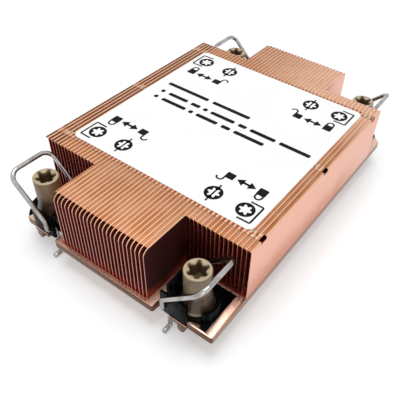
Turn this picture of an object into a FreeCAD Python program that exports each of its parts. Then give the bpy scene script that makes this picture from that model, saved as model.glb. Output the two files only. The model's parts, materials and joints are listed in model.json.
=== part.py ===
import FreeCAD, Part
import math
import os

os.makedirs("parts", exist_ok=True)

# Heatsink, millimetres. X runs across the fins, Y along them, Z up.
# The origin is under the middle of the heatsink, at the underside of the wire hooks.

# Base plate
width = 78.0
corner_length = 114.2
tongue_reach = 1.9
base_thickness = 2.9
hook_reach = 8.0
lobe_room = 1.57
base_corner_radius = 0.8
base_edge_chamfer = 0.3
corner_cut_across = 5.0
corner_cut_along = 5.7
cut_corners = ((-1, -1), (1, 1))

# Fins
wing_fins = 15
tongue_fins = 24
fin_height = 20.1
fin_thickness = 0.3
fin_gap = 0.04
fin_ledge = 1.0
long_fin_round = 2.0
lock_rows = 3
lock_row_front = 5.9
lock_row_rear = 6.1
lock_width = 2.8
lock_depth = 1.2
lock_reach = 0.7
lock_clearance = 0.1
lock_opening = 0.2

# Label
label_left_margin = 5.8
label_right_margin = 4.2
label_front_margin = 5.9
label_rear_margin = 6.0
label_thickness = 0.15
label_radius = 2.2

# Nuts
nut_from_side = 9.9
nut_from_end = 6.5
nut_radius = 3.95
nut_top_drop = 4.7
nut_skirt_radius = 5.0
nut_skirt_height = 5.4
nut_skirt_rim = 0.5
nut_sleeve_radius = 3.25
nut_sleeve_below_base = 1.0
nut_snap_depth = 0.5
nut_snap_height = 0.7
nut_edge = 0.35
thread_radius = 2.1
thread_length = 12.0
drive_radius = 3.0
drive_core_radius = 2.1
drive_lobe_radius = 0.65
drive_depth = 4.5
drive_lobes = 6
nut_clearance = 0.08
nut_room = 0.3
snap_clearance = 0.3

# Corner recess in the base
side_strip = 2.8
end_strip = 1.6
end_strip_narrow = 0.7
narrow_strip_length = 2.2
body_ledge = 0.6
recess_floor = 1.4
floor_start_past_nut = 1.4
floor_hole_margin = 0.25
lip_thickness = 1.2
lip_overhang = 0.5
lip_past_pivot = 1.5
tab_width = 2.6
tab_drop = 2.6
tab_before_lip_end = 0.5

# Brackets
bracket_clearance = 0.1
bracket_plate = 1.6
bracket_seat = 0.8
bracket_seat_radius = 5.7
ear_thickness = 0.8
ear_height = 8.6
ear_edge = 1.6
ear_corner_chamfer = 1.4
rear_ear_length = 4.6
inner_wall = 1.0
rib_thickness = 0.8
rib_length = 3.0
rib_height = 6.4
collar_margin = 0.4
collar_thickness = 0.9
collar_height = 2.7
collar_to_end = 3.8
collar_to_fins = 2.9

# Wires
wire_radius = 0.75
wire_leg_offset = 7.6
wire_pivot_from_nut = 6.1
wire_pivot_height = 4.5
wire_knee_height = 3.7
wire_bail_out = 12.8
wire_bail_up = 16.2
wire_bail_radius = 3.4
wire_side_clearance = 0.2
wire_fin_clearance = 1.25
wire_slot_clearance = 0.2
wire_pivot_clearance = 0.05
wire_hook_length = 3.1
swing_up = 50.0
swing_down = 25.0

# Cutting shapes reach this far past what they cut
cut_margin = 1.0

# Worked out
pitch = width / (2 * wing_fins + tongue_fins)
base_bottom = hook_reach
base_top = base_bottom + base_thickness
fin_top = base_top + fin_height
half_width = width / 2
half_corner = corner_length / 2
half_tongue = half_corner + tongue_reach
half_long_fin = half_tongue - fin_ledge
half_short_fin = half_corner - nut_from_end - wire_leg_offset - wire_radius - wire_fin_clearance

nut_x = half_width - nut_from_side
nut_y = half_corner - nut_from_end
pivot_x = nut_x - wire_pivot_from_nut
pivot_z = base_bottom + wire_pivot_height
lobe_half = pivot_x - ear_edge - lobe_room

ear_outer = wire_leg_offset - wire_radius - wire_side_clearance
ear_inner = ear_outer - ear_thickness
run_offset = ear_inner - wire_slot_clearance - wire_radius
slot_inner = run_offset - wire_radius - wire_slot_clearance
wire_bend_radius = wire_radius + min(wire_side_clearance, wire_slot_clearance)

floor_top = base_bottom + recess_floor
lip_top = base_bottom + lip_thickness
lip_inner = nut_y + ear_inner
lip_outer = half_corner + lip_overhang
lip_start = pivot_x + lip_past_pivot
floor_start = nut_x + floor_start_past_nut
recess_outer = half_width - side_strip
recess_end = half_corner - end_strip
recess_end_wide = half_corner - end_strip_narrow
recess_body = half_short_fin + body_ledge
snap_radius = nut_sleeve_radius + nut_snap_depth
plate_top = floor_top + bracket_plate
seat_top = plate_top + bracket_seat
nut_top = fin_top - nut_top_drop
ear_top = lip_top + ear_height


def block(x0, x1, y0, y1, z0, z1):
    return Part.makeBox(x1 - x0, y1 - y0, z1 - z0, FreeCAD.Vector(x0, y0, z0))


def upright(radius, x, y, z0, z1):
    return Part.makeCylinder(radius, z1 - z0, FreeCAD.Vector(x, y, z0))


def prism(points, direction):
    corners = [FreeCAD.Vector(*point) for point in points]
    outline = Part.makePolygon(corners + corners[:1])
    return Part.Face(outline).extrude(FreeCAD.Vector(*direction))


def joined(first, others):
    return first.fuse(others).removeSplitter()


def save(name, shape):
    shape.exportStep("parts/" + name + ".step")


def in_corner(shape, side, end):
    """The corner pieces are drawn at +X, -Y; other corners are mirror images."""
    origin = FreeCAD.Vector(0, 0, 0)
    if side < 0:
        shape = shape.mirror(origin, FreeCAD.Vector(1, 0, 0))
    if end > 0:
        shape = shape.mirror(origin, FreeCAD.Vector(0, 1, 0))
    return shape


def lock_places():
    first = lock_row_front - half_short_fin
    last = half_short_fin - lock_row_rear
    return [first + row * (last - first) / (lock_rows - 1) for row in range(lock_rows)]


def fin_wall(x, half, rounding):
    """Upright sheet with rounded top corners on a long fin."""
    wall = block(x, x + fin_thickness, -half, half, base_top, fin_top)
    if rounding > 0:
        for end in (-1, 1):
            centre_y = end * (half - rounding)
            corner = block(x, x + fin_thickness, min(centre_y, end * half), max(centre_y, end * half),
                           fin_top - rounding, fin_top)
            centre = FreeCAD.Vector(x, centre_y, fin_top - rounding)
            disc = Part.makeCylinder(rounding, fin_thickness, centre, FreeCAD.Vector(1, 0, 0))
            wall = wall.cut(corner.cut(disc))
    return wall


def top_flange(left, right, half, tabs):
    """Fold at the fin's top: tabs at its free edge reach into the next fin's notches."""
    rows = lock_places()
    tab_half = lock_width / 2 - lock_clearance
    tab_reach = fin_gap + fin_thickness + lock_reach - lock_opening if tabs else 0
    notch_half = lock_width / 2
    notch_reach = fin_thickness + lock_reach
    points = [(left, -half)]
    points.append((right, -half))
    for y in rows:
        points += [(right, y - notch_half), (right - notch_reach, y - notch_half)]
        points += [(right - notch_reach, y + notch_half), (right, y + notch_half)]
    points += [(right, half), (left, half)]
    if tabs:
        for y in reversed(rows):
            points += [(left, y + tab_half), (left - tab_reach, y + tab_half)]
            points += [(left - tab_reach, y - tab_half), (left, y - tab_half)]
    return prism([(x, y, fin_top - fin_thickness) for x, y in points], (0, 0, fin_thickness))


def fin(number, half, rounding):
    """One folded fin: wall at its right, flanges at top and bottom reaching to its left."""
    right = -half_width + (number + 1) * pitch
    wall_x = right - fin_thickness
    first = number == 0
    left = right - pitch + (0 if first else fin_gap)
    wall = fin_wall(wall_x, half, rounding)
    notches = [block(wall_x, right, y - lock_width / 2, y + lock_width / 2,
                     fin_top - lock_depth, fin_top) for y in lock_places()]
    wall = wall.cut(notches)
    top = top_flange(left, right, half - rounding, not first)
    foot = block(left, right, -half, half, base_top, base_top + fin_thickness)
    return joined(wall, [top, foot])


def base_corner_cut():
    """Everything the corner recess takes away from the base, at +X, -Y."""
    below = base_bottom - cut_margin
    above = base_top + cut_margin
    recess = block(lobe_half, recess_outer, -recess_end, -recess_body, floor_top, above)
    wide = block(recess_outer - narrow_strip_length, recess_outer, -recess_end_wide, -recess_body,
                 floor_top, above)
    window = block(lobe_half, floor_start, -half_tongue, -recess_body, below, above)
    seat = upright(bracket_seat_radius + bracket_clearance, nut_x, -nut_y, floor_top, above)
    hole = upright(snap_radius + floor_hole_margin, nut_x, -nut_y, below, above)
    return recess.fuse([wide, window, seat, hole])


def base_corner_lip():
    """Thin lip across the mouth of the recess, with a round-ended tab hanging from it."""
    lip = block(lip_start, floor_start, -lip_outer, -lip_inner, base_bottom, lip_top)
    tab_right = floor_start - tab_before_lip_end
    tab_left = tab_right - tab_width
    radius = tab_width / 2
    low = base_bottom - tab_drop
    tab = block(tab_left, tab_right, -lip_outer, -lip_inner, low + radius, lip_top)
    centre = FreeCAD.Vector(tab_left + radius, -lip_outer, low + radius)
    end = Part.makeCylinder(radius, lip_outer - lip_inner, centre, FreeCAD.Vector(0, 1, 0))
    return [lip, tab, end]


def corner_cut():
    """Two opposite corners of the base are cut off at a slant, with the moulding in them."""
    side = half_width - corner_cut_across
    end = -half_corner + corner_cut_along
    far_side = half_width + corner_cut_across
    far_end = -half_corner - corner_cut_along
    outline = [(side, -half_corner), (side, far_end), (far_side, far_end), (far_side, end), (half_width, end)]
    return prism([(x, y, 0) for x, y in outline], (0, 0, fin_top))


def rounded_plate(half_x, half_y, z0, z1, radius):
    plate = block(-half_x, half_x, -half_y, half_y, z0, z1)
    uprights = [edge for edge in plate.Edges if edge.BoundBox.ZLength > (z1 - z0) / 2]
    return plate.makeFillet(radius, uprights)


def base_plate():
    corners = rounded_plate(half_width, half_corner, base_bottom, base_top, base_corner_radius)
    tongue = rounded_plate(lobe_half, half_tongue, base_bottom, base_top, base_corner_radius)
    plate = joined(corners, [tongue])
    rims = [edge for edge in plate.Edges if edge.BoundBox.ZMax < base_bottom + base_thickness / 2]
    plate = plate.makeChamfer(base_edge_chamfer, rims)
    places = [(side, end) for side in (-1, 1) for end in (-1, 1)]
    plate = plate.cut([in_corner(base_corner_cut(), side, end) for side, end in places])
    plate = plate.cut([in_corner(corner_cut(), side, end) for side, end in cut_corners])
    lips = [in_corner(piece, side, end) for side, end in places for piece in base_corner_lip()]
    return joined(plate, lips)


def drive_socket():
    """Six-lobe socket: a round core with a small round lobe at each point."""
    bottom = nut_top - drive_depth
    top = nut_top + cut_margin
    tool = upright(drive_core_radius, nut_x, -nut_y, bottom, top)
    lobes = []
    for number in range(drive_lobes):
        turn = math.radians(number * 360 / drive_lobes)
        reach = drive_radius - drive_lobe_radius
        lobes.append(upright(drive_lobe_radius, nut_x + reach * math.cos(turn),
                             -nut_y + reach * math.sin(turn), bottom, top))
    return tool.fuse(lobes)


def nut():
    """Turned nut: drum, conical skirt that rests on the bracket, sleeve with a snap ring below."""
    bottom = base_bottom - nut_sleeve_below_base
    rim_top = seat_top + nut_skirt_rim
    snap_top = floor_top - snap_clearance
    snap_low = snap_top - nut_snap_height
    side = [(0, bottom), (nut_sleeve_radius, bottom), (nut_sleeve_radius, snap_low - nut_snap_depth),
            (snap_radius, snap_low), (snap_radius, snap_top), (nut_sleeve_radius, snap_top),
            (nut_sleeve_radius, seat_top), (nut_skirt_radius, seat_top), (nut_skirt_radius, rim_top),
            (nut_radius, seat_top + nut_skirt_height), (nut_radius, nut_top - nut_edge),
            (nut_radius - nut_edge, nut_top), (0, nut_top)]
    corners = [FreeCAD.Vector(nut_x + r, -nut_y, z) for r, z in side]
    face = Part.Face(Part.makePolygon(corners + corners[:1]))
    axis_point = FreeCAD.Vector(nut_x, -nut_y, 0)
    body = face.revolve(axis_point, FreeCAD.Vector(0, 0, 1), 360)
    thread = upright(thread_radius, nut_x, -nut_y, bottom - cut_margin, bottom + thread_length)
    return body.cut([thread, drive_socket()])


def wire_slots():
    """Room in the bracket for the wire's two uprights over their whole swing."""
    swing = math.radians(swing_up)
    drop = pivot_z - (floor_top - wire_radius)
    room = wire_radius / math.cos(swing) + wire_slot_clearance
    back = math.radians(swing_down)
    x0 = pivot_x - drop * math.tan(back) - wire_radius / math.cos(back) - wire_slot_clearance
    x1 = pivot_x + drop * math.tan(swing) + room
    slots = []
    for end in (-1, 1):
        near = min(end * slot_inner, end * ear_inner)
        far = max(end * slot_inner, end * ear_inner)
        slots.append(block(x0, x1, -nut_y + near, -nut_y + far,
                           base_bottom - cut_margin, ear_top + cut_margin))
    return slots


def bracket():
    """Black moulding: plate in the recess, seat for the nut, ears for the wire, wall and ribs."""
    gap = bracket_clearance
    ear_x = pivot_x - ear_edge
    body_side = -recess_body - gap
    plate = block(ear_x, recess_outer - gap, -recess_end + gap, body_side, floor_top, plate_top)
    corner = block(recess_outer - narrow_strip_length + gap, recess_outer - gap,
                   -recess_end_wide + gap, body_side, floor_top, plate_top)
    mouth = block(ear_x, floor_start - gap, -nut_y - ear_outer, body_side, floor_top, plate_top)
    seat = upright(bracket_seat_radius, nut_x, -nut_y, floor_top, seat_top)
    chamfer = ear_corner_chamfer
    front_y = -nut_y - ear_outer
    ear_end = floor_start - gap
    front_ear = prism([(ear_x, front_y, lip_top + chamfer), (ear_x + chamfer, front_y, lip_top),
                       (ear_end, front_y, lip_top), (ear_end, front_y, ear_top),
                       (ear_x, front_y, ear_top)], (0, ear_thickness, 0))
    rear_y = -nut_y + ear_inner
    rear_ear = block(ear_x, ear_x + rear_ear_length, rear_y, rear_y + ear_thickness, floor_top, ear_top)
    wall = block(ear_x, ear_x + inner_wall, -nut_y - slot_inner, -nut_y + slot_inner, floor_top, ear_top)
    ribs = []
    for y in (-slot_inner, slot_inner - rib_thickness, -rib_thickness / 2):
        ribs.append(block(ear_x, ear_x + rib_length, -nut_y + y, -nut_y + y + rib_thickness,
                          floor_top, floor_top + rib_height))
    collar_radius = recess_outer - gap - nut_x - collar_margin
    collar = upright(collar_radius, nut_x, -nut_y, floor_top, seat_top + collar_height)
    collar = collar.cut(upright(collar_radius - collar_thickness, nut_x, -nut_y, floor_top, ear_top))
    collar = collar.common(block(nut_x, recess_outer, -nut_y - collar_to_end, -nut_y + collar_to_fins,
                                 floor_top, ear_top))
    whole = joined(plate, [corner, mouth, seat, front_ear, rear_ear, wall, collar] + ribs)
    pin_hole_radius = wire_radius + wire_pivot_clearance
    reach = wire_leg_offset * 2
    pin_hole = Part.makeCylinder(pin_hole_radius, reach, FreeCAD.Vector(pivot_x, -nut_y - reach / 2, pivot_z),
                                 FreeCAD.Vector(0, 1, 0))
    sleeve_hole = upright(nut_sleeve_radius + nut_clearance, nut_x, -nut_y,
                          base_bottom, seat_top + cut_margin)
    ears = [front_ear, rear_ear]
    drum = upright(nut_skirt_radius + nut_room, nut_x, -nut_y, seat_top, ear_top + cut_margin)
    whole = whole.cut(wire_slots() + [sleeve_hole, drum])
    return joined(whole, ears).cut(pin_hole)


def bent_rod(points, radii, radius):
    """Round rod along straight runs joined by tangent arcs of the given centre-line radii."""
    rim = Part.Circle(points[0], points[1] - points[0], radius).toShape()
    faces = [Part.Face(Part.Wire([rim]))]
    place = points[0]
    for number in range(1, len(points) - 1):
        corner = points[number]
        back = (points[number - 1] - corner).normalize()
        ahead = (points[number + 1] - corner).normalize()
        half_turn = back.getAngle(ahead) / 2
        bend = radii[number - 1]
        trim = bend / math.tan(half_turn)
        entry = corner + back * trim
        centre = corner + (back + ahead).normalize() * (bend / math.sin(half_turn))
        axis = ahead.cross(back)
        turn = 180 - math.degrees(half_turn * 2)
        faces.append(rim.extrude(entry - place))
        rim = rim.translated(entry - place)
        faces.append(rim.revolve(centre, axis, turn))
        rim = rim.rotated(centre, axis, turn)
        place = corner + ahead * trim
    faces.append(rim.extrude(points[-1] - place))
    rim = rim.translated(points[-1] - place)
    faces.append(Part.Face(Part.Wire([rim])))
    skin = Part.Shell(faces)
    skin.sewShape()
    return Part.Solid(skin)


def wire():
    """One bent wire: hooks, uprights, pivot pins, legs with a knee, and the bail's crossbar."""
    hook_end = run_offset + wire_hook_length
    half = [(0, hook_end, wire_radius), (0, run_offset, wire_radius), (0, run_offset, pivot_z),
            (0, wire_leg_offset, pivot_z), (0, wire_leg_offset, pivot_z + wire_knee_height),
            (wire_bail_out, wire_leg_offset, pivot_z + wire_bail_up)]
    near = [FreeCAD.Vector(pivot_x + x, -nut_y - y, z) for x, y, z in half]
    far = [FreeCAD.Vector(pivot_x + x, -nut_y + y, z) for x, y, z in reversed(half)]
    radii = [wire_bend_radius] * (len(half) - 2) + [wire_bail_radius]
    return bent_rod(near + far, radii + radii[::-1], wire_radius)


def label():
    half_x = half_width - (label_left_margin + label_right_margin) / 2
    half_y = half_short_fin - (label_front_margin + label_rear_margin) / 2
    plate = rounded_plate(half_x, half_y, fin_top, fin_top + label_thickness, label_radius)
    shift_x = (label_left_margin - label_right_margin) / 2
    shift_y = (label_front_margin - label_rear_margin) / 2
    plate.translate(FreeCAD.Vector(shift_x, shift_y, 0))
    return plate


save("base_plate", base_plate())
save("top_label", label())
for number in range(tongue_fins):
    save("long_fin_%02d" % (number + 1), fin(wing_fins + number, half_long_fin, long_fin_round))
left_wing = [fin(number, half_short_fin, 0) for number in range(wing_fins)]
right_start = wing_fins + tongue_fins
right_wing = [fin(right_start + number, half_short_fin, 0) for number in range(wing_fins)]
save("left_wing_fins", Part.makeCompound(left_wing))
save("right_wing_fins", Part.makeCompound(right_wing))
for end, end_name in ((-1, "front"), (1, "rear")):
    for side, side_name in ((-1, "left"), (1, "right")):
        name = end_name + "_" + side_name
        moulding = in_corner(bracket(), side, end)
        if (side, end) in cut_corners:
            moulding = moulding.cut(in_corner(corner_cut(), side, end))
        save(name + "_bracket", moulding)
        save(name + "_nut", in_corner(nut(), side, end))
        save(name + "_wire", in_corner(wire(), side, end))
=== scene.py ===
import bmesh
import bpy
import json
import math
import numpy as np
from mathutils import Matrix, Vector

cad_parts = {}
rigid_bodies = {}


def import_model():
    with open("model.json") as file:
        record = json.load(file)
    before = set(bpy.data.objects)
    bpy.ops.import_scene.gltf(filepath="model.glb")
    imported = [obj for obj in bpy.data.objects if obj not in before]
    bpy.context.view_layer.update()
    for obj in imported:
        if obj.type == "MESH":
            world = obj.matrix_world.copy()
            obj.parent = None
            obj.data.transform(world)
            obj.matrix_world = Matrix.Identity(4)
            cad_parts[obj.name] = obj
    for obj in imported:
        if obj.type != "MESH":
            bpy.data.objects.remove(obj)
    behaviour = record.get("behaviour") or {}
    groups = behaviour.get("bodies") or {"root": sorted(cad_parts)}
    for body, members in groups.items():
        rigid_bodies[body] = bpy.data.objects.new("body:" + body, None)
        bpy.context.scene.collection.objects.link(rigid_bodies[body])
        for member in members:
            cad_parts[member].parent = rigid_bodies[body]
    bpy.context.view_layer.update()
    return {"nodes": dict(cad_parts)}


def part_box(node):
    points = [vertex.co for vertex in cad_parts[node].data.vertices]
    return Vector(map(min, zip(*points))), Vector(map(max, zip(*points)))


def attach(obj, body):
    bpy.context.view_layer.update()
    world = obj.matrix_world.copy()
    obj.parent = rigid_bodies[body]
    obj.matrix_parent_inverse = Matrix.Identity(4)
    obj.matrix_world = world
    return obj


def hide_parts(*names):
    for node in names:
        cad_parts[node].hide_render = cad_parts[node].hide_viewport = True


mm = 0.001

for spare in list(bpy.data.objects):
    bpy.data.objects.remove(spare)
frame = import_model()
scene = bpy.context.scene
print("frame loaded, %d nodes" % len(frame["nodes"]))

heatsink = {
    # sizes that several pieces share, in mm
    "halfWidth": 39.0,
    "pitch": 78.0 / 54,
    "finTop": 31.0,
    "baseBottom": 8.0,
    "nutX": 29.1,
    "nutY": 50.6,
}
corners = {"front_left": (-1, -1), "front_right": (1, -1), "rear_left": (-1, 1), "rear_right": (1, 1)}
bumpDepth = 0.1 * mm


class Signal:
    # wraps one shader socket; sums on it add Math nodes and node() adds any other kind

    def __init__(self, tree, socket=None):
        self.tree = tree
        self.socket = socket

    def node(self, kind, settings={}, values={}, output=0):
        made = self.tree.nodes.new("ShaderNode" + kind)
        for name, value in settings.items():
            setattr(made, name, value)
        for key, value in values.items():
            if isinstance(value, Signal):
                self.tree.links.new(value.socket, made.inputs[key])
            else:
                made.inputs[key].default_value = value
        return Signal(self.tree, made.outputs[output])

    def math(self, operation, first, second=0.0):
        return self.node("Math", {"operation": operation}, {0: first, 1: second})

    def __add__(self, other):
        return self.math("ADD", self, other)

    def __sub__(self, other):
        return self.math("SUBTRACT", self, other)

    def __rsub__(self, other):
        return self.math("SUBTRACT", other, self)

    def __mul__(self, other):
        return self.math("MULTIPLY", self, other)

    def __truediv__(self, other):
        return self.math("DIVIDE", self, other)

    def __abs__(self):
        return self.math("ABSOLUTE", self)

    __radd__ = __add__
    __rmul__ = __mul__

    def fraction(self):
        return self.math("FRACT", self)

    def most(self, other):
        return self.math("MAXIMUM", self, other)

    def rise(self, low, high):
        # 0 below low, 1 above high and a soft slope between; low above high turns it round
        return self.node("MapRange", {"interpolation_type": "SMOOTHSTEP"},
                         {"Value": self, "From Min": low, "From Max": high})

    def between(self, low, lowFull, highFull, high):
        # 1 from lowFull to highFull, with a soft slope down to 0 at low and at high
        return self.rise(low, lowFull) * self.rise(high, highFull)

    def pick(self, off, on):
        # colour off where this is 0, colour on where it is 1
        def full(colour):
            return colour if isinstance(colour, Signal) else (*colour, 1)
        return self.node("Mix", {"data_type": "RGBA"}, {0: self, 6: full(off), 7: full(on)}, 2)

    def noise(self, place, scale, detail=2.0, rough=0.5, stretch=(1, 1, 1)):
        spread = self.node("VectorMath", {"operation": "MULTIPLY"}, {0: place, 1: stretch})
        values = {"Vector": spread, "Scale": scale, "Detail": detail, "Roughness": rough}
        return self.node("TexNoise", {}, values)

    def bump(self, height, strength):
        return self.node("Bump", {}, {"Height": height, "Strength": strength, "Distance": bumpDepth})


def makeMaterial(name, varying, fixed):
    # varying(start, place, at, facing) gives the sockets that change over the surface: place is the point
    # in mm, at its three coordinates and facing the three parts of the normal; fixed holds the constants
    material = bpy.data.materials.new(name)
    material.use_nodes = True
    tree = material.node_tree
    shader = tree.nodes["Principled BSDF"]
    for key, value in fixed.items():
        shader.inputs[key].default_value = value
    start = Signal(tree)
    place = start.node("TexCoord", {}, {}, "Object")
    place = start.node("VectorMath", {"operation": "SCALE"}, {0: place, "Scale": 1 / mm})
    normal = start.node("NewGeometry", {}, {}, "Normal")
    at = [start.node("SeparateXYZ", {}, {0: place}, axis) for axis in range(3)]
    facing = [start.node("SeparateXYZ", {}, {0: normal}, axis) for axis in range(3)]
    for key, signal in varying(start, place, at, facing).items():
        tree.links.new(signal.socket, shader.inputs[key])
    return material


def addPiece(name, mesh, body, material, nodes=()):
    piece = bpy.data.objects.new(name, mesh)
    scene.collection.objects.link(piece)
    piece.data.materials.clear()
    piece.data.materials.append(material)
    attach(piece, body)
    if nodes:
        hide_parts(*nodes)
    return piece


def wholeCopy(node):
    # the node's triangles joined into faces again, so that edges can be rounded
    mesh = frame["nodes"][node].data.copy()
    shell = bmesh.new()
    shell.from_mesh(mesh)
    bmesh.ops.remove_doubles(shell, verts=shell.verts, dist=0.002 * mm)
    bmesh.ops.dissolve_limit(shell, angle_limit=math.radians(0.6), verts=shell.verts, edges=shell.edges)
    shell.to_mesh(mesh)
    shell.free()
    mesh.shade_smooth()
    mesh.name = node + "Shell"
    return mesh


def bevelPiece(piece, width, segments, angle=35):
    edge = piece.modifiers.new("edges", "BEVEL")
    edge.width = width
    edge.segments = segments
    edge.limit_method = "ANGLE"
    edge.angle_limit = math.radians(angle)
    edge.harden_normals = True
    return edge


def meshFrom(name, points, faces):
    mesh = bpy.data.meshes.new(name)
    mesh.from_pydata((np.asarray(points) * mm).tolist(), [], faces)
    mesh.validate()
    mesh.update()
    return mesh


def smooth(mesh, angle):
    mesh.shade_smooth()
    mesh.set_sharp_from_angle(angle=math.radians(angle))


def closedRings(first, rings, last):
    # rings of points joined one to the next by quads, with a fan of triangles to a point at each end
    rows, columns = rings.shape[:2]
    points = np.concatenate([[first], rings.reshape(-1, 3), [last]])
    row, column = np.meshgrid(np.arange(rows - 1), np.arange(columns), indexing="ij")
    after = (column + 1) % columns
    quads = np.stack([row * columns + column, row * columns + after,
                      (row + 1) * columns + after, (row + 1) * columns + column], -1)
    faces = (quads.reshape(-1, 4) + 1).tolist()
    ring = np.arange(columns)
    after = (ring + 1) % columns
    lastRing = 1 + (rows - 1) * columns
    faces += np.column_stack([0 * ring, 1 + after, 1 + ring]).tolist()
    faces += np.column_stack([lastRing + ring, lastRing + after, 0 * ring + len(points) - 1]).tolist()
    return points, faces


def roundCorners(points, radii, steps):
    # a line of straight runs with each corner replaced by a tangent arc of the given radius
    points = np.asarray(points, float)
    line = [points[:1]]
    for before, corner, after, radius in zip(points[:-2], points[1:-1], points[2:], radii):
        back = (before - corner) / np.linalg.norm(before - corner)
        ahead = (after - corner) / np.linalg.norm(after - corner)
        half = math.acos(np.clip(back @ ahead, -1, 1)) / 2
        if radius <= 0 or half > 1.55:
            line.append(corner[None])
            continue
        centre = corner + (back + ahead) / np.linalg.norm(back + ahead) * radius / math.sin(half)
        entry = corner + back * radius / math.tan(half) - centre
        leave = corner + ahead * radius / math.tan(half) - centre
        share = np.linspace(0, 1, steps)[:, None]
        sweep = math.pi - 2 * half
        arc = (np.sin((1 - share) * sweep) * entry + np.sin(share * sweep) * leave) / math.sin(sweep)
        line.append(centre + arc)
    line.append(points[-1:])
    return np.concatenate(line)


# the copper fins keep the faces of their solids and get a rounded fold along the top

fins = {
    # linear colours of the top
    "flange": (0.435, 0.15, 0.058),
    "flangePale": (0.612, 0.313, 0.19),
    "flangeStreak": (0.286, 0.082, 0.034),
    "flangeDarkReflection": (0.15, 0.037, 0.016),
    "flangePaleReflection": (0.84, 0.49, 0.345),
    "creaseShade": (0.109, 0.024, 0.01),
    "fold": (0.72, 0.475, 0.302),
    "tab": (0.49, 0.15, 0.075),
    "tabGlint": (0.75, 0.54, 0.39),
    # of the walls in the gaps, the sheets' cut ends and the outer sides
    "wall": (0.42, 0.085, 0.05),
    "edge": (0.56, 0.24, 0.205),
    "wingEdge": (0.30, 0.085, 0.07),
    "crownHighlight": (0.807, 0.527, 0.391),
    "sideFace": (0.86, 0.48, 0.365),
    "sideFaceShade": (0.71, 0.285, 0.18),
    "recess": (0.035, 0.005, 0.004),
    "recessLow": (0.50, 0.07, 0.02),
    # how much of each colour is laid over the one before
    "paleShare": 0.5,
    "leftShare": 0.9,
    "rearShare": 0.95,
    "streakShare": 0.35,
    "mottleShare": 0.2,
    "tabShare": 0.95,
    "creaseShare": 0.8,
    "foldShare": 0.95,
    # places in mm, each from where the colour starts to where it is full
    "foldWidth": 0.46,
    "foldReach": (1.2, 0.7),
    "lockRows": (-35.1, -0.1, 34.9),
    "lockRow": (1.4, 1.15),
    "leftStrip": (-31.0, -34.0),
    "outerStrips": (31.0, 34.0),
    "rearX": (-22.0, 22.0),
    "rearY": (5.0, 38.0),
    "rightSheet": (38.9, 38.97),
    "leftSheet": (-37.7, -37.8),
    "tongueRight": (17.2, 17.3, 17.4, 17.5),
    "tongueLeft": (-16.4, -16.25, -16.15, -16.0),
    "tongueY": (40.9, 41.1),
    "wingX": (17.4, 17.6),
    "topDepth": (1.0, 0.6),
    "crownDepth": (2.2, 0.8),
    "recessFoot": (19.0, 13.0),
    "recessWave": 6.0,
    "sideFoot": (27.0, 15.0),
    "sideWave": 9.0,
    "sideFront": (34.0, 8.0),
    # parts of a pitch, and of the normal, where a colour starts and is full
    "creasePart": (0.14, 0.05),
    "topFacing": (0.25, 0.6),
    "endFacing": (0.5, 0.8),
    # noises as (scale per mm, detail, roughness, stretch), and the levels between which each one rises
    "streakNoise": (0.9, 3.0, 0.6, (2.4, 0.14, 1)),
    "streakLevels": (0.45, 0.72),
    "mottleNoise": (0.30, 3.0, 0.6, (1.5, 0.5, 1)),
    "mottleLevels": (0.50, 0.75),
    "broadNoise": (0.11, 2.0, 0.5),
    "paleLevels": (0.35, 0.68),
    "glintNoise": (0.8, 2.0, 0.5),
    "glintLevels": (0.40, 0.58),
    "glintInner": 0.25,
    # roughness, metal and relief
    "rough": 0.2,
    "roughStreaks": 0.12,
    "roughOuter": 0.16,
    "roughFold": 0.14,
    "roughRear": 0.12,
    "roughRecess": 0.35,
    "metal": 0.8,
    "metalOuter": 0.2,
    "dullRear": 0.6,
    "relief": 0.12,
    "reliefInner": 0.1,
    # rounding of the edges in mm
    "foldBevel": 0.26,
    "sheetBevel": 0.05,
    "bevelSteps": 3,
}


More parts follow.
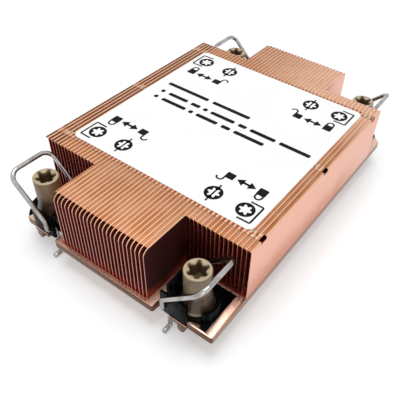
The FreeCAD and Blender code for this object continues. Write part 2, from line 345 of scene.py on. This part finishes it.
def finVarying(start, place, at, facing):
    x, y, z = at
    across = ((x + heatsink["halfWidth"]) / heatsink["pitch"]).fraction()
    foldPart = fins["foldWidth"] / heatsink["pitch"]
    fold = across.rise(*[1 - foldPart * reach for reach in fins["foldReach"]])
    streaks = start.noise(place, *fins["streakNoise"])
    mottle = start.noise(place, *fins["mottleNoise"])
    broad = start.noise(place, *fins["broadNoise"])
    # the flanges get a painted darker reflection on the left and a painted pale reflection towards the rear
    flange = (broad.rise(*fins["paleLevels"]) * fins["paleShare"]).pick(fins["flange"], fins["flangePale"])
    flange = (x.rise(*fins["leftStrip"]) * fins["leftShare"]).pick(flange, fins["flangeDarkReflection"])
    rear = y.rise(*fins["rearY"]) * x.rise(*fins["rearX"])
    flange = (rear * fins["rearShare"]).pick(flange, fins["flangePaleReflection"])
    flange = (streaks.rise(*fins["streakLevels"]) * fins["streakShare"]).pick(flange, fins["flangeStreak"])
    flange = (mottle.rise(*fins["mottleLevels"]) * fins["mottleShare"]).pick(flange, fins["flangePale"])
    # redder tabs where one fin locks into the next, with painted glints that are brighter on the outer strips
    inRow = 0.0
    for row in fins["lockRows"]:
        inRow = abs(y - row).rise(*fins["lockRow"]) + inRow
    glint = start.noise(place, *fins["glintNoise"]).rise(*fins["glintLevels"])
    inner = fins["glintInner"]
    glint = glint * (inner + (1 - inner) * abs(x).rise(*fins["outerStrips"]))
    flange = (inRow * fins["tabShare"]).pick(flange, glint.pick(fins["tab"], fins["tabGlint"]))
    # a painted shade in the crease between one sheet and the next, and a painted highlight along each rounded
    # fold
    top = (across.rise(*fins["creasePart"]) * fins["creaseShare"]).pick(flange, fins["creaseShade"])
    top = (fold * fins["foldShare"]).pick(top, fins["fold"])
    isTop = facing[2].rise(*fins["topFacing"])
    isTop = isTop * z.rise(*[heatsink["finTop"] - depth for depth in fins["topDepth"]])
    isCrown = z.rise(*[heatsink["finTop"] - depth for depth in fins["crownDepth"]])
    isEnd = abs(facing[1]).rise(*fins["endFacing"])
    # the sheets that face outwards: both sides of the block and of the tongues
    tongueRight = x.between(*fins["tongueRight"])
    tongueLeft = x.between(*fins["tongueLeft"]) * abs(y).rise(*fins["tongueY"])
    isSide = x.rise(*fins["rightSheet"]).most(tongueRight * y.rise(*fins["tongueY"]))
    isSide = isSide.most(x.rise(*fins["leftSheet"])).most(tongueLeft)
    # the tongue's front side gets painted shade above and a painted red glow towards its foot
    isRecess = tongueRight * y.rise(*[-reach for reach in fins["tongueY"]])
    isFoot = (z + broad * fins["recessWave"]).rise(*fins["recessFoot"])
    wall = isRecess.pick(fins["wall"], isFoot.pick(fins["recess"], fins["recessLow"]))
    # the cut ends get a painted highlight near the top
    edge = isCrown.pick(fins["edge"], fins["crownHighlight"])
    edge = abs(x).rise(*fins["wingX"]).pick(edge, fins["wingEdge"])
    colour = isEnd.pick(wall, edge)
    # the outer sheets get a painted shade towards their foot and the front
    lowSide = (z + broad * fins["sideWave"]).rise(*fins["sideFoot"]) * y.rise(*fins["sideFront"])
    colour = isSide.pick(colour, lowSide.pick(fins["sideFace"], fins["sideFaceShade"]))
    colour = isTop.pick(colour, top)
    outer = isTop.most(isSide)
    rough = fins["rough"] + fins["roughStreaks"] * streaks + fins["roughOuter"] * outer
    rough = rough + isTop * (fins["roughFold"] * fold).most(fins["roughRear"] * rear)
    rough = rough + fins["roughRecess"] * isRecess
    metal = outer.most(isEnd) * fins["metalOuter"] + fins["metal"]
    # the tongue's shaded front side has no metal, and the rear of the top, where the pale reflection is
    # painted, has less
    metal = metal * (1 - isRecess) * (1 - fins["dullRear"] * isTop * rear)
    inner = fins["reliefInner"]
    lift = start.bump(streaks * (inner + (1 - inner) * outer), fins["relief"])
    return {"Base Color": colour, "Roughness": rough, "Metallic": metal, "Normal": lift}


def weighFolds(mesh):
    # weight 1 on the folded top edges, a little on every other sharp edge
    count = len(mesh.edges)
    places = np.empty(len(mesh.vertices) * 3)
    mesh.vertices.foreach_get("co", places)
    places = places.reshape(-1, 3) / mm
    ends = np.empty(count * 2, int)
    mesh.edges.foreach_get("vertices", ends)
    ends = places[ends.reshape(-1, 2)]
    turns = (ends[:, :, 0] + heatsink["halfWidth"]) / heatsink["pitch"]
    near = 0.01
    onFold = (np.abs(turns - np.round(turns)) < near) & (np.abs(ends[:, :, 2] - heatsink["finTop"]) < near)
    alongY = np.abs(ends[:, 0, 1] - ends[:, 1, 1]) > 0.5
    weights = np.where(onFold.all(1) & alongY, 1.0, fins["sheetBevel"] / fins["foldBevel"])
    shell = bmesh.new()
    shell.from_mesh(mesh)
    shell.edges.ensure_lookup_table()
    sharp = np.array([edge.calc_face_angle(0.0) > math.radians(30) for edge in shell.edges])
    shell.free()
    weights = np.where(sharp, weights, 0.0)
    mesh.attributes.new("bevel_weight_edge", "FLOAT", "EDGE").data.foreach_set("value", weights)


finCopper = makeMaterial("finCopper", finVarying, {"Specular IOR Level": 0.15})
for node in [node for node in frame["nodes"] if "fin" in node]:
    mesh = wholeCopy(node)
    weighFolds(mesh)
    piece = addPiece(node + "_folded", mesh, "heatsink_body", finCopper, [node])
    rounding = bevelPiece(piece, fins["foldBevel"] * mm, fins["bevelSteps"])
    rounding.limit_method = "WEIGHT"
print("fins rounded")


# the base plate is bright on top, with painted shade on its upright faces and on the ledge beyond the
# tongues' fins

basePlate = {
    # linear colours, and lengths in mm
    "copper": (0.72, 0.46, 0.35),
    "copperPale": (0.80, 0.59, 0.49),
    "paleShare": 0.5,
    "ledgeShade": (0.36, 0.20, 0.14),
    "ledgeShare": 0.8,
    "ledgeX": (25.0, 24.0),
    "edge": (0.125, 0.062, 0.038),
    "longSideShade": (0.34, 0.185, 0.13),
    "longSideX": (38.9, 38.97),
    "longSideRise": (0.6, 1.4),
    "underFacing": (-0.5, -0.8),
    "edgeFacing": (0.4, 0.8),
    "grainNoise": (0.8, 4.0, 0.6, (1.0, 0.35, 1)),
    "wornNoise": (0.25, 3.0, 0.6),
    "wornLevels": (0.4, 0.7),
    "rough": 0.2,
    "roughGrain": 0.16,
    "relief": 0.12,
    "bevel": 0.12,
}


def baseVarying(start, place, at, facing):
    x, y, z = at
    grain = start.noise(place, *basePlate["grainNoise"])
    worn = start.noise(place, *basePlate["wornNoise"]).rise(*basePlate["wornLevels"])
    colour = (worn * basePlate["paleShare"]).pick(basePlate["copper"], basePlate["copperPale"])
    isUnder = facing[2].rise(*basePlate["underFacing"])
    isEdge = (1 - abs(facing[2])).rise(*basePlate["edgeFacing"]) * (1 - isUnder)
    # painted shade on the top beside the tongues' fins
    ledgeShade = abs(x).rise(*basePlate["ledgeX"]) * (1 - isUnder)
    colour = (ledgeShade * basePlate["ledgeShare"]).pick(colour, basePlate["ledgeShade"])
    # painted shade on the upright faces, lighter on the long sides above their lowest strip
    colour = isEdge.pick(colour, basePlate["edge"])
    sideHeights = [heatsink["baseBottom"] + rise for rise in basePlate["longSideRise"]]
    isSide = abs(x).rise(*basePlate["longSideX"]) * z.rise(*sideHeights)
    colour = isSide.pick(colour, basePlate["longSideShade"])
    rough = basePlate["rough"] + basePlate["roughGrain"] * grain
    return {"Base Color": colour, "Roughness": rough, "Normal": start.bump(grain, basePlate["relief"])}


baseCopper = makeMaterial("baseCopper", baseVarying, {"Metallic": 1.0})
plateMesh = wholeCopy("base_plate")
plate = addPiece("base_dressed", plateMesh, "heatsink_body", baseCopper, ["base_plate"])
bevelPiece(plate, basePlate["bevel"] * mm, 2)
print("base rounded")


# the brackets are black mouldings with a painted soft upright sheen

bracket = {
    # linear colours, and lengths in mm
    "black": (0.0018, 0.0020, 0.0024),
    "sheen": (0.022, 0.027, 0.031),
    "grainNoise": (1.6, 3.0, 0.6),
    "smearNoise": (0.3, 2.0, 0.5),
    "bandNoise": (0.42, 2.0, 0.4, (1.0, 1.0, 0.06)),
    "bandLevels": (0.50, 0.68),
    "rough": 0.22,
    "roughSmear": 0.2,
    "relief": 0.06,
    "bevel": 0.14,
}


def bracketVarying(start, place, at, facing):
    grain = start.noise(place, *bracket["grainNoise"])
    smear = start.noise(place, *bracket["smearNoise"])
    # the sheen is a painted highlight in bands on the upright faces
    paintedSheen = start.noise(place, *bracket["bandNoise"]).rise(*bracket["bandLevels"])
    upright = 1 - abs(facing[2])
    colour = (paintedSheen * upright).pick(bracket["black"], bracket["sheen"])
    rough = bracket["rough"] + bracket["roughSmear"] * smear
    return {"Base Color": colour, "Roughness": rough, "Normal": start.bump(grain, bracket["relief"])}


blackPlastic = makeMaterial("blackPlastic", bracketVarying, {"Specular IOR Level": 0.03})
for corner in corners:
    node = corner + "_bracket"
    mesh = wholeCopy(node)
    moulding = addPiece(node + "_moulded", mesh, "heatsink_body", blackPlastic, [node])
    bevelPiece(moulding, bracket["bevel"] * mm, 2)
print("brackets rounded")


# the nuts are turned shapes with a pointed star for a socket

nut = {
    # heights above the wires' feet and radii, in mm
    "bottom": 7.0,
    "snapTop": 9.1,
    "snapHeight": 0.7,
    "snapDepth": 0.5,
    "seat": 11.8,
    "skirtRim": 1.0,
    "skirtHeight": 5.4,
    "threadTop": 19.0,
    "socketFloor": 21.8,
    "mouthDepth": 0.55,
    "top": 26.3,
    "thread": 2.1,
    "sleeve": 3.25,
    "snap": 3.75,
    "skirt": 5.0,
    "drum": 3.95,
    "mouth": 3.18,
    "socketMean": 2.6,
    "socketSwing": 0.55,
    "mouthFlare": (0.35, 0.08),
    "floorRound": 0.2,
    "roundings": (0, 0.25, 0.25, 0.1, 0.15, 0.15, 0.05, 0.05, 0.2, 0.35, 2.5, 0.4),
    "lobes": 6,
    "pointed": 0.9,
    "around": 96,
    # linear colours, with the heights in mm where each starts and is full
    "drumColour": (0.225, 0.15, 0.082),
    "footShade": (0.058, 0.033, 0.019),
    "footFrom": (21.5, 16.5),
    "flowColour": (0.16, 0.10, 0.055),
    "flowShare": 0.45,
    "rimLight": (0.47, 0.38, 0.24),
    "rimFrom": (24.5, 25.4),
    "beadColour": (0.42, 0.34, 0.24),
    "beadShare": 0.7,
    "beadFrom": (11.8, 12.2, 12.7, 13.4),
    "socketShade": (0.09, 0.055, 0.028),
    "socketFrom": (25.9, 24.6),
    "socketReach": (11.0, 9.0),
    "rimFacing": (0.3, 0.8),
    "grainNoise": (1.2, 3.0, 0.6),
    "flowNoise": (0.7, 3.0, 0.6, (1.0, 1.0, 0.15)),
    "flowLevels": (0.42, 0.66),
    "rough": 0.30,
    "roughGrain": 0.14,
    "relief": 0.1,
}


def nutVarying(start, place, at, facing):
    x, y, z = at
    grain = start.noise(place, *nut["grainNoise"])
    flow = start.noise(place, *nut["flowNoise"]).rise(*nut["flowLevels"])
    # painted shade darkening the nut towards its foot
    colour = z.rise(*nut["footFrom"]).pick(nut["drumColour"], nut["footShade"])
    colour = (flow * nut["flowShare"]).pick(colour, nut["flowColour"])
    # painted light on the upward faces of the top rim
    rim = facing[2].rise(*nut["rimFacing"]) * z.rise(*nut["rimFrom"])
    colour = rim.pick(colour, nut["rimLight"])
    colour = (z.between(*nut["beadFrom"]) * nut["beadShare"]).pick(colour, nut["beadColour"])
    # the socket gets painted shade inside, darker than the outside of the drum; the reach is the distance
    # squared
    aside, along = abs(x) - heatsink["nutX"], abs(y) - heatsink["nutY"]
    reach = aside * aside + along * along
    inside = reach.rise(*nut["socketReach"]) * z.rise(*nut["socketFrom"])
    colour = inside.pick(colour, nut["socketShade"])
    rough = nut["rough"] + nut["roughGrain"] * grain
    return {"Base Color": colour, "Roughness": rough, "Normal": start.bump(grain, nut["relief"])}


def nutMesh(name, x, y):
    # rings of radius r plus swing * (2 (1 - |sin(lobes / 2 * angle)|) ^ pointed - 1), from the thread's end
    # round the outside to the socket
    top, seat, sleeve, snap, drum = [nut[key] for key in ("top", "seat", "sleeve", "snap", "drum")]
    snapFoot = nut["snapTop"] - nut["snapHeight"]
    outline = [
        (0, nut["threadTop"]), (nut["thread"], nut["threadTop"]), (nut["thread"], nut["bottom"]),
        (sleeve, nut["bottom"]), (sleeve, snapFoot - nut["snapDepth"]), (snap, snapFoot),
        (snap, nut["snapTop"]), (sleeve, nut["snapTop"]), (sleeve, seat), (nut["skirt"], seat),
        (nut["skirt"], seat + nut["skirtRim"]), (drum, seat + nut["skirtHeight"]), (drum, top),
        (nut["mouth"], top),
    ]
    shell = roundCorners(outline, nut["roundings"], 6)
    mean, swing, floor = nut["socketMean"], nut["socketSwing"], nut["socketFloor"]
    depth, easing = nut["mouthDepth"], nut["floorRound"]
    flare, neck = nut["mouthFlare"]
    socket = np.array([
        (mean + flare, swing * 0.7, top - depth * 0.45), (mean + neck, swing, top - depth),
        (mean, swing, top - depth * 1.6), (mean, swing, floor + easing), (mean - easing, swing * 0.8, floor),
        (mean * 0.4, 0, floor), (0, 0, floor),
    ])
    rings = np.concatenate([np.column_stack([shell[:, 0], 0 * shell[:, 0], shell[:, 1]]), socket])
    inner = rings[1:-1]
    angle = np.arange(nut["around"]) * 2 * math.pi / nut["around"]
    star = (1 - np.abs(np.sin(nut["lobes"] / 2 * angle))) ** nut["pointed"]
    radius = inner[:, :1] + inner[:, 1:2] * (2 * star - 1)
    height = np.broadcast_to(inner[:, 2:], radius.shape)
    around = np.stack([x + radius * np.cos(angle), y + radius * np.sin(angle), height], -1)
    mesh = meshFrom(name, *closedRings((x, y, rings[0, 2]), around, (x, y, rings[-1, 2])))
    smooth(mesh, 40)
    return mesh


tanPlastic = makeMaterial("tanPlastic", nutVarying, {"Specular IOR Level": 0.5})
for corner, (side, end) in corners.items():
    mesh = nutMesh(corner + "NutShell", side * heatsink["nutX"], end * heatsink["nutY"])
    addPiece(corner + "_nut_turned", mesh, corner + "_nut_body", tanPlastic, [corner + "_nut"])
print("nuts turned")


# the wire bails are bent round rod

wire = {
    # lengths in mm
    "radius": 0.75,
    "pivotX": 23.0,
    "pivotZ": 12.5,
    "leg": 7.6,
    "run": 4.7,
    "hook": 3.1,
    "knee": 3.7,
    "out": 12.8,
    "up": 16.2,
    "bend": 0.95,
    "bailBend": 3.4,
    "endRound": 0.12,
    "around": 20,
    # linear colours
    "steel": (0.47, 0.455, 0.44),
    "steelDark": (0.29, 0.27, 0.26),
    "drawnNoise": (0.35, 3.0, 0.6),
    "drawnLevels": (0.35, 0.7),
    "rough": 0.13,
    "roughDrawn": 0.14,
}


def wireVarying(start, place, at, facing):
    drawn = start.noise(place, *wire["drawnNoise"])
    colour = drawn.rise(*wire["drawnLevels"]).pick(wire["steel"], wire["steelDark"])
    return {"Base Color": colour, "Roughness": wire["rough"] + wire["roughDrawn"] * drawn}


def wireMesh(name, side, end):
    # a round tube: each ring is centre + radius * (cos a * sideways + sin a * square to both)
    leg, run, foot, pivotZ = wire["leg"], wire["run"], wire["radius"], wire["pivotZ"]
    half = [
        (0, run + wire["hook"], foot), (0, run, foot), (0, run, pivotZ), (0, leg, pivotZ),
        (0, leg, pivotZ + wire["knee"]), (wire["out"], leg, pivotZ + wire["up"]),
    ]
    near = [(wire["pivotX"] + out, -heatsink["nutY"] - away, z) for out, away, z in half]
    far = [(wire["pivotX"] + out, -heatsink["nutY"] + away, z) for out, away, z in reversed(half)]
    bends = [wire["bend"]] * 4 + [wire["bailBend"]]
    line = roundCorners(near + far, bends + bends[::-1], 10)
    ahead = np.gradient(line, axis=0)
    ahead /= np.linalg.norm(ahead, axis=1, keepdims=True)
    sideways = np.cross(ahead, (1.0, 0.0, 0.0))
    sideways /= np.linalg.norm(sideways, axis=1, keepdims=True)
    square = np.cross(ahead, sideways)
    angle = np.arange(wire["around"]) * 2 * math.pi / wire["around"]
    # one more ring near each end takes the sharpness off the cut
    rim = wire["endRound"]
    centres = np.concatenate([line[:1], line[:1] + ahead[:1] * rim, line[1:-1],
                              line[-1:] - ahead[-1:] * rim, line[-1:]])
    sideways = np.concatenate([sideways[:1], sideways, sideways[-1:]])
    square = np.concatenate([square[:1], square, square[-1:]])
    radius = np.full(len(centres), wire["radius"])
    radius[[0, -1]] -= rim
    rings = centres[:, None] + radius[:, None, None] * (np.cos(angle)[:, None] * sideways[:, None]
                                                        + np.sin(angle)[:, None] * square[:, None])
    points, faces = closedRings(line[0], rings, line[-1])
    if side * -end > 0:
        faces = [face[::-1] for face in faces]
    mesh = meshFrom(name, points * (side, -end, 1), faces)
    smooth(mesh, 50)
    return mesh


wireSteel = makeMaterial("wireSteel", wireVarying, {"Metallic": 1.0})
for corner, (side, end) in corners.items():
    mesh = wireMesh(corner + "WireShell", side, end)
    addPiece(corner + "_wire_bent", mesh, corner + "_wire_body", wireSteel, [corner + "_wire"])
print("wires bent")


# the label is a thin film with its print as flat solid shapes

label = {
    # lengths in mm, and linear colours
    "film": 0.12,
    "ink": 0.025,
    "inkSink": 0.01,
    "corner": 2.2,
    "middle": (0.55, -0.35),
    "white": (0.93, 0.93, 0.935),
    "whitePale": (0.96, 0.96, 0.96),
    "black": (0.003, 0.003, 0.003),
    "blackPale": (0.008, 0.008, 0.008),
    "fibreNoise": (0.9, 3.0, 0.6),
    "broadNoise": (0.05, 2.0, 0.5),
    "whiteLevels": (0.3, 0.7),
    "blackLevels": (0.35, 0.7),
    "filmRough": 0.5,
    "inkRough": 0.6,
    "roughFibre": 0.1,
    "relief": 0.03,
    # plain bars in place of the lines of words: (front, rear, [word ends])
    "barRound": 0.4,
    "wordRows": [
        (7.0, 8.6, [(-29.2, -11.5), (-9.5, 5.8)]),
        (1.7, 3.3, [(-28.3, -26.8), (-24.8, -16.6), (-14.9, -11.2), (-9.6, -8.0), (-6.4, 3.2), (4.9, 8.0),
                    (9.6, 19.2), (20.8, 31.9)]),
        (-2.4, -0.8, [(-28.1, -26.6), (-24.6, -14.4), (-12.8, -11.2), (-9.6, -1.0), (0.8, 4.2), (5.9, 17.2)]),
    ],
    # the signs of the front right quarter; the other quarters mirror them
    "rings": [(29.0, -29.2), (18.0, -29.1)],
    "ringRadius": 2.85,
    "star": 1.62,
    "starSwing": 0.42,
    "cornerLine": [(28.6, -25.6), (32.8, -25.6), (32.8, -32.9), (28.6, -33.0)],
    "line": 0.6,
    "barLine": [(18.0, -33.1), (18.0, -25.1)],
    "bar": 0.55,
    "closedLock": (27.6, -22.0, 30.6, -18.9),
    "openLock": (16.2, -21.6, 19.2, -18.9),
    "lockRound": 0.3,
    "shackle": 1.1,
    "shackleLeg": 0.7,
    "shackleLine": 0.6,
    "arrow": (20.1, 26.8),
    "arrowY": -20.3,
    "arrowShaft": 0.85,
    "headLength": 2.4,
    "headHalf": 1.55,
}
labelLow, labelHigh = [np.array(spot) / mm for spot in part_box("top_label")]
filmTop = labelLow[2] + label["film"]
inkTop = filmTop + label["ink"]


def filmVarying(start, place, at, facing):
    fibre = start.noise(place, *label["fibreNoise"])
    broad = start.noise(place, *label["broadNoise"])
    colour = broad.rise(*label["whiteLevels"]).pick(label["white"], label["whitePale"])
    rough = label["filmRough"] + label["roughFibre"] * fibre
    return {"Base Color": colour, "Roughness": rough, "Normal": start.bump(fibre, label["relief"])}


def inkVarying(start, place, at, facing):
    patch = start.noise(place, *label["fibreNoise"])
    colour = patch.rise(*label["blackLevels"]).pick(label["black"], label["blackPale"])
    return {"Base Color": colour, "Roughness": label["inkRough"] + label["roughFibre"] * patch}


def flatPrism(outline, low, high):
    # an outline in the label's plane carried straight up from low to high
    count = len(outline)
    points = np.concatenate([np.column_stack([outline, np.full(count, low)]),
                             np.column_stack([outline, np.full(count, high)])])
    ring = np.arange(count)
    after = (ring + 1) % count
    faces = np.column_stack([ring, after, after + count, ring + count]).tolist()
    return points, faces + [ring[::-1].tolist(), (ring + count).tolist()]


def bandPrism(outer, inner, low, high):
    # the flat band between two closed lines of the same count, carried up from low to high
    count = len(outer)
    layers = [(outer, low), (inner, low), (inner, high), (outer, high)]
    points = np.concatenate([np.column_stack([line, np.full(count, z)]) for line, z in layers])
    ring = np.arange(count)
    after = (ring + 1) % count
    faces = []
    for layer in range(4):
        here, there = layer * count, (layer + 1) % 4 * count
        faces += np.column_stack([here + ring, there + ring, there + after, here + after]).tolist()
    return points, faces


def strokeOutline(line, width):
    # both sides of an open line, half the width away along its normals
    line = np.asarray(line, float)
    ahead = np.gradient(line, axis=0)
    ahead /= np.linalg.norm(ahead, axis=1, keepdims=True)
    aside = np.column_stack([-ahead[:, 1], ahead[:, 0]]) * width / 2
    return np.concatenate([line - aside, (line + aside)[::-1]])


def circleLine(x, y, radius, swing=0.0, lobes=6, count=72):
    # radius plus swing times cos(lobes * angle)
    angle = np.arange(count) * 2 * math.pi / count
    reach = radius + swing * np.cos(lobes * angle)
    return np.column_stack([x + reach * np.cos(angle), y + reach * np.sin(angle)])


def arcLine(x, y, radius, first, last, count=20):
    # centre plus radius * (cos, sin) from the first angle to the last, in degrees
    angle = np.radians(np.linspace(first, last, count))
    return np.column_stack([x + radius * np.cos(angle), y + radius * np.sin(angle)])


def boxLine(x0, y0, x1, y1, rounding=0.0):
    if not rounding:
        return np.array([(x0, y0), (x1, y0), (x1, y1), (x0, y1)])
    middle = (x0 + x1) / 2
    line = [(middle, y0), (x1, y0), (x1, y1), (x0, y1), (x0, y0), (middle, y0)]
    return roundCorners(line, [rounding] * 4, 8)[:-1]


def quarterPrint():
    # list of (outer line, inner line or None)
    shapes = []
    for x, y in label["rings"]:
        star = circleLine(x, y, label["star"], label["starSwing"])
        shapes.append((circleLine(x, y, label["ringRadius"]), star))
    for before, after in zip(label["cornerLine"][:-1], label["cornerLine"][1:]):
        shapes.append((strokeOutline([before, after], label["line"]), None))
    shapes.append((strokeOutline(label["barLine"], label["bar"]), None))
    bow, leg = label["shackle"], label["shackleLeg"]
    # the closed lock's shackle stands over its middle, the open one's to one side with one leg short
    for lock in ("closedLock", "openLock"):
        isOpen = lock == "openLock"
        x0, y0, x1, y1 = label[lock]
        shapes.append((boxLine(x0, y0, x1, y1, label["lockRound"]), None))
        middleX = x0 + 0.1 * (x1 - x0) - bow if isOpen else (x0 + x1) / 2
        arc = arcLine(middleX, y0 - leg, bow, 180, 360)
        line = np.concatenate([[(middleX - bow, y0)], arc, [(middleX + bow, y0)]])
        shapes.append((strokeOutline(line[1:] if isOpen else line, label["shackleLine"]), None))
    left, right = label["arrow"]
    y, shaft, length = label["arrowY"], label["arrowShaft"] / 2, label["headLength"]
    shapes.append((boxLine(left + length * 0.8, y - shaft, right - length * 0.8, y + shaft), None))
    for tip, tail in ((left, left + length), (right, right - length)):
        head = [(tip, y), (tail, y - label["headHalf"]), (tail, y + label["headHalf"])]
        shapes.append((np.array(head), None))
    return shapes


def turned(line):
    # the line run anticlockwise, told by the sign of twice the area inside it
    area = np.sum(line[:, 0] * np.roll(line[:, 1], -1) - np.roll(line[:, 0], -1) * line[:, 1])
    return line if area > 0 else line[::-1]


labelFilm = makeMaterial("labelFilm", filmVarying, {"Specular IOR Level": 0.3})
labelInk = makeMaterial("labelInk", inkVarying, {"Specular IOR Level": 0.1})
outline = boxLine(labelLow[0], labelLow[1], labelHigh[0], labelHigh[1], label["corner"])
film = meshFrom("labelFilmShell", *flatPrism(outline, labelLow[2], filmTop))
addPiece("label_film_sheet", film, "heatsink_body", labelFilm, ["top_label"])

printShapes = []
for side in (1, -1):
    for end in (1, -1):
        for shape in quarterPrint():
            printShapes.append([None if line is None else
                                turned((line - label["middle"]) * (side, end) + label["middle"])
                                for line in shape])
for front, rear, words in label["wordRows"]:
    for left, right in words:
        printShapes.append((boxLine(left, front, right, rear, label["barRound"]), None))

points, faces = [], []
for outer, inner in printShapes:
    low = filmTop - label["inkSink"]
    made = flatPrism(outer, low, inkTop) if inner is None else bandPrism(outer, inner, low, inkTop)
    first = sum(len(part) for part in points)
    points.append(made[0])
    faces += [[first + corner for corner in face] for face in made[1]]
inked = meshFrom("labelInkShell", np.concatenate(points), faces)
addPiece("label_print", inked, "heatsink_body", labelInk)
print("label printed")


# the floor and studio look white wherever they are seen, mirrored or shine through, and light the part
# more from above than from the horizon

studio = {
    "horizon": 0.15,
    "zenith": 0.78,
    "floor": (0.955, 0.985, 1.0, 1),
    "floorHalf": 900,
    "floorGlow": 0.18,
    "glowLevel": 1.5,
    "aim": (0, 0, 0.02),
    # name: place in metres, side in metres, watts
    "lamps": {"keyLamp": ((0.0, -0.03, 0.62), 0.30, 1.65), "sideLamp": ((0.45, -0.45, 0.25), 0.2, 0.4)},
}


def shownRays(start):
    # 1 for the rays that meet the background itself
    camera, glossy, through = [start.node("LightPath", {}, {}, "Is %s Ray" % kind)
                               for kind in ("Camera", "Glossy", "Transmission")]
    return camera.most(glossy).most(through)


far = studio["floorHalf"]
floorCorners = [(-far, -far, 0), (far, -far, 0), (far, far, 0), (-far, far, 0)]
floor = bpy.data.objects.new("floor", meshFrom("floorShell", floorCorners, [[0, 1, 2, 3]]))
scene.collection.objects.link(floor)
floorWhite = bpy.data.materials.new("floorWhite")
floorWhite.use_nodes = True
tree = floorWhite.node_tree
tree.nodes.clear()
start = Signal(tree)
paper = start.node("BsdfDiffuse", {}, {"Color": studio["floor"]})
glow = start.node("Emission", {}, {"Color": (1, 1, 1, 1), "Strength": studio["glowLevel"]})
blended = start.node("MixShader", {}, {0: shownRays(start) * studio["floorGlow"], 1: paper, 2: glow})
out = tree.nodes.new("ShaderNodeOutputMaterial")
tree.links.new(blended.socket, out.inputs[0])
floor.data.materials.append(floorWhite)

world = bpy.data.worlds.new("studio")
world.use_nodes = True
scene.world = world
tree = world.node_tree
start = Signal(tree)
direction = start.node("TexCoord", {}, {}, "Generated")
height = start.node("SeparateXYZ", {}, {0: direction}, 2)
level = height.rise(0.0, 1.0) * (studio["zenith"] - studio["horizon"]) + studio["horizon"]
shown = shownRays(start)
level = shown + (1 - shown) * level
tree.links.new(level.socket, tree.nodes["Background"].inputs["Strength"])
tree.nodes["Background"].inputs["Color"].default_value = (1, 1, 1, 1)

for name, (place, size, power) in studio["lamps"].items():
    lamp = bpy.data.lights.new(name, "AREA")
    lamp.shape = "RECTANGLE"
    lamp.size = lamp.size_y = size
    lamp.energy = power
    holder = bpy.data.objects.new(name, lamp)
    scene.collection.objects.link(holder)
    holder.location = place
    holder.rotation_mode = "QUATERNION"
    holder.rotation_quaternion = (Vector(studio["aim"]) - Vector(place)).to_track_quat("-Z", "Y")

view = {
    # metres and degrees; focal, centre and size are counted on an image 400 wide
    "place": (0.07945, -0.11745, 0.13137),
    "azimuth": 33.44,
    "elevation": 44.04,
    "roll": 3.4,
    "focal": 517.01,
    "centre": (222.06, 202.67),
    "size": 400,
    "sensor": 36.0,
}
lens = bpy.data.cameras.new("camera")
lens.sensor_width = view["sensor"]
lens.lens = view["focal"] * view["sensor"] / view["size"]
lens.shift_x = (view["size"] / 2 - view["centre"][0]) / view["size"]
lens.shift_y = (view["centre"][1] - view["size"] / 2) / view["size"]
lens.clip_start, lens.clip_end = 0.005, 10
around, above, roll = [math.radians(view[key]) for key in ("azimuth", "elevation", "roll")]
back = Vector((math.sin(around) * math.cos(above), -math.cos(around) * math.cos(above), math.sin(above)))
right = (-back).cross(Vector((0, 0, 1))).normalized()
upward = right.cross(-back)
axisX = right * math.cos(roll) + upward * math.sin(roll)
axisY = -right * math.sin(roll) + upward * math.cos(roll)
turn = Matrix((axisX, axisY, back)).transposed().to_4x4()
camera = bpy.data.objects.new("camera", lens)
camera.matrix_world = Matrix.Translation(view["place"]) @ turn
scene.collection.objects.link(camera)
scene.camera = camera
scene.view_settings.view_transform = "Standard"
print("stage set")

bpy.context.view_layer.update()
